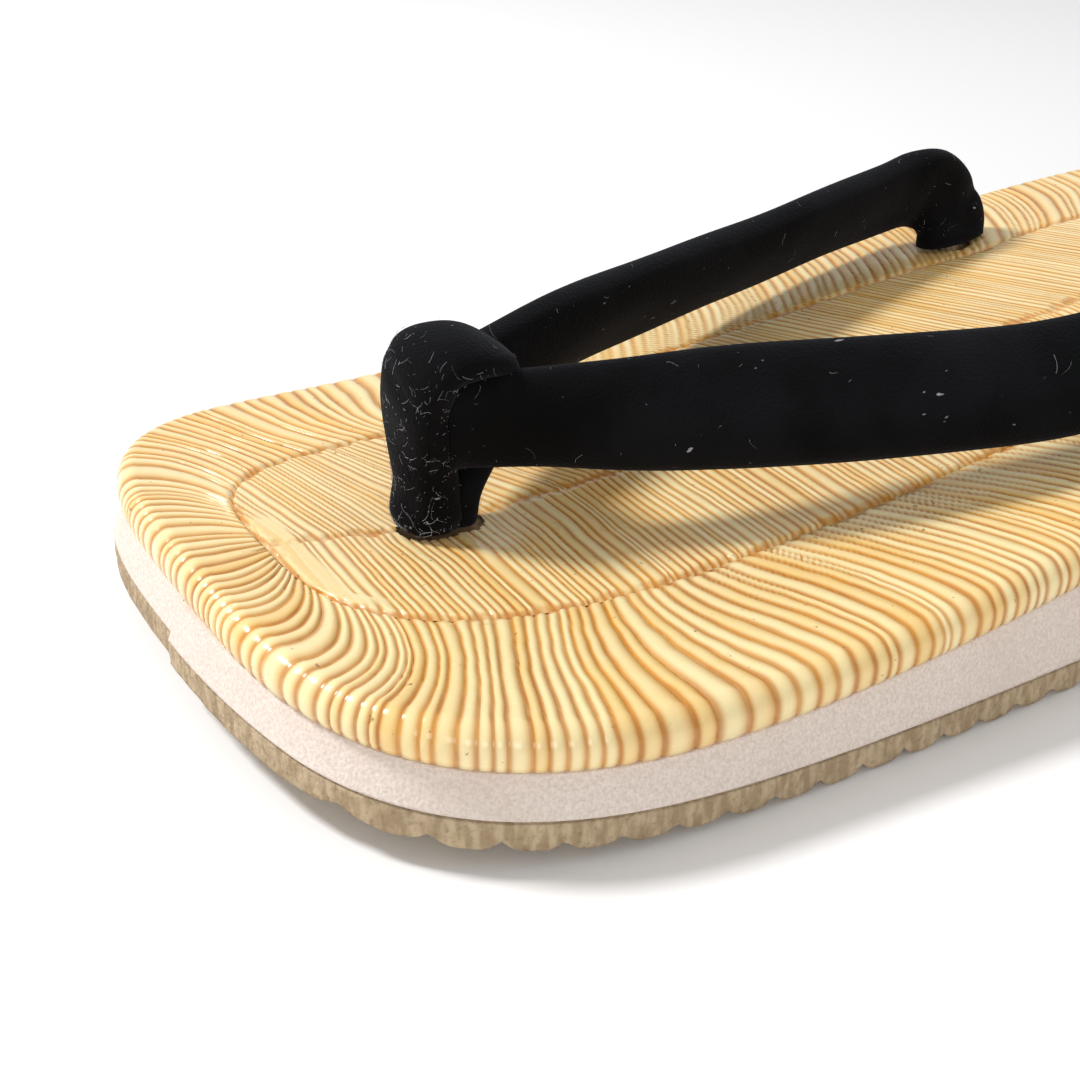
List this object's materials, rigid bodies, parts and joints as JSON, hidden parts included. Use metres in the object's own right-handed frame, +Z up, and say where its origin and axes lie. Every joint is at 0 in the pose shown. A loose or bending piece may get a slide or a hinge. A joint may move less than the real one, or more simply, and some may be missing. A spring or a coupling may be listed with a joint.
{
  "type": "thong sandal",
  "caption": "Flat thong sandal with a ribbed cane-look mat, a wedge sole with rippled tread and a padded velvet strap",
  "frame": {"origin": "on the ground, midway along and across the sandal", "axes": "+Z up, toe towards -Y, heel towards +Y, X across"},
  "size_m": [0.1038, 0.2668, 0.0402],
  "materials": {
    "mat": "glossy moulded vinyl with fine cane-like ribs",
    "board": "raw pressed fibre board",
    "midsole": "sanded foam, off-white",
    "outsole": "granular crepe rubber, tan",
    "washer": "raw leather",
    "velvet": "deep black short-pile velvet",
    "lining": "black cotton twill",
    "filling": "cotton wadding",
    "cord": "twisted hemp cord"
  },
  "bodies": {
    "sole": {"outsole": "outsole", "midsole": "midsole", "core_board": "board", "top_mat": "mat", "toe_washer": "washer", "side_washer_right": "washer", "side_washer_left": "washer"},
    "strap": {"toe_knot": "cord", "toe_loop_cover": "velvet", "toe_loop_core": "cord", "strap_cover_right": "velvet", "strap_lining_right": "lining", "strap_filling_right": "filling", "strap_cord_right": "cord", "side_knot_right": "cord", "strap_cover_left": "velvet", "strap_lining_left": "lining", "strap_filling_left": "filling", "strap_cord_left": "cord", "side_knot_left": "cord"}
  },
  "joints": [
    {"name": "strap_lift", "type": "hinge", "parent": "sole", "child": "strap", "pos_m": [0, 0.024, 0.025], "axis": [-1, 0, 0], "range_deg": [0, 0.6]}
  ]
}
